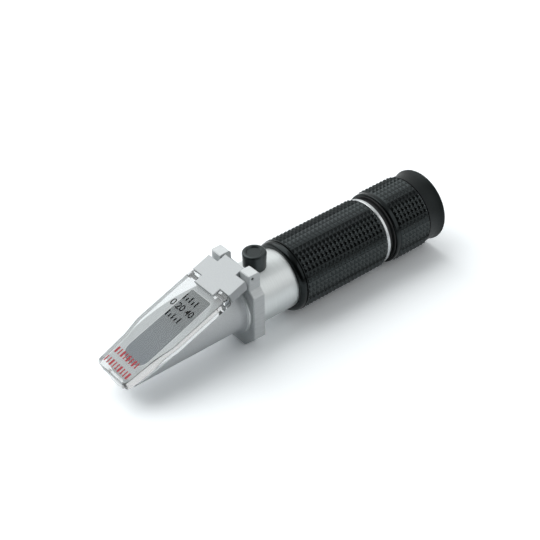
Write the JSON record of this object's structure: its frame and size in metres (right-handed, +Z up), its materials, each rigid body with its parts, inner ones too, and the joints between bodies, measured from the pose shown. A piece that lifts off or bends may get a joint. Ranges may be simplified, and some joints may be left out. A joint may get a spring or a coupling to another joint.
{
  "type": "handheld refractometer",
  "caption": "Handheld refractometer with a hinged clear lid over its prism, a calibration screw under a rubber cap, a rubber grip and a focusing eyepiece.",
  "frame": {"origin": "centre of the bracket's flat foot, on the bench", "axes": "+X along the optical axis from the lid to the eyepiece, +Z up"},
  "size_m": [0.1578, 0.0314, 0.0357],
  "materials": {
    "anodised_aluminium": "satin anodised, drawn tube",
    "milled_aluminium": "milled and satin anodised",
    "blasted_aluminium": "bead blasted, matt grey",
    "blasted_block": "bead blasted, pale matt",
    "polished_aluminium": "bright turned",
    "ground_steel": "ground",
    "brass": "machined",
    "optical_glass": "polished",
    "clear_acrylic": "clear, polished",
    "cement": "matt",
    "grip_rubber": "moulded, matt, with raised pyramids",
    "cap_rubber": "moulded, satin",
    "black_plastic": "matt black"
  },
  "bodies": {
    "root": {"body_tube": "anodised_aluminium", "hinge_bracket": "milled_aluminium", "hinge_pin": "ground_steel", "prism_housing": "blasted_aluminium", "prism": "optical_glass", "prism_seal": "cement", "light_baffle": "black_plastic", "calibration_boss": "brass", "rubber_grip": "grip_rubber", "grip_end_ring": "polished_aluminium", "focus_sleeve": "black_plastic", "reticle_holder": "black_plastic", "reticle": "optical_glass", "reticle_lock_ring": "black_plastic"},
    "lid": {"hinge_block": "blasted_block", "daylight_plate": "clear_acrylic", "lid_screws": "ground_steel"},
    "calibration_spindle": {"calibration_screw": "ground_steel", "screw_clip": "ground_steel"},
    "adjuster": {"adjusting_block": "brass", "bimetal_strip": "brass", "strip_screws": "ground_steel", "objective_cell": "black_plastic", "objective_lens": "optical_glass", "objective_ring": "black_plastic"},
    "cap": {"calibration_cap": "cap_rubber"},
    "barrel": {"lens_barrel": "black_plastic", "barrel_key": "brass", "barrel_clip": "ground_steel", "field_lens": "optical_glass", "lens_spacer": "black_plastic", "eye_lens": "optical_glass", "eye_lens_ring": "black_plastic"},
    "eyepiece": {"focus_collar": "black_plastic", "guide_screw": "ground_steel", "eyepiece_rubber": "grip_rubber"}
  },
  "joints": [
    {"name": "lid_hinge", "type": "hinge", "parent": "root", "child": "lid", "pos_m": [-0.00095, 0, 0.0339], "axis": [0, 1, 0], "range_deg": [0, 130]},
    {"name": "cap_pull", "type": "slide", "parent": "root", "child": "cap", "axis": [0, 0, 1], "range_m": [0, 0.006]},
    {"name": "calibration_turn", "type": "hinge", "parent": "root", "child": "calibration_spindle", "pos_m": [0.0092, 0, 0.0304], "axis": [0, 0, 1], "range_deg": [-270, 270]},
    {"name": "objective_shift", "type": "slide", "parent": "root", "child": "adjuster", "axis": [0, 0, 1], "range_m": [-0.000375, 0.000375]},
    {"name": "focus_turn", "type": "hinge", "parent": "barrel", "child": "eyepiece", "pos_m": [0.0767, 0, 0.0164], "axis": [1, 0, 0], "range_deg": [-150, 150]},
    {"name": "focus_travel", "type": "slide", "parent": "root", "child": "barrel", "axis": [1, 0, 0], "range_m": [-0.00167, 0.00167]}
  ],
  "couplings": [
    {"joint": "calibration_turn", "follows": "objective_shift", "rad_per_m": -12566},
    {"joint": "focus_turn", "follows": "focus_travel", "rad_per_m": 1570.8}
  ]
}
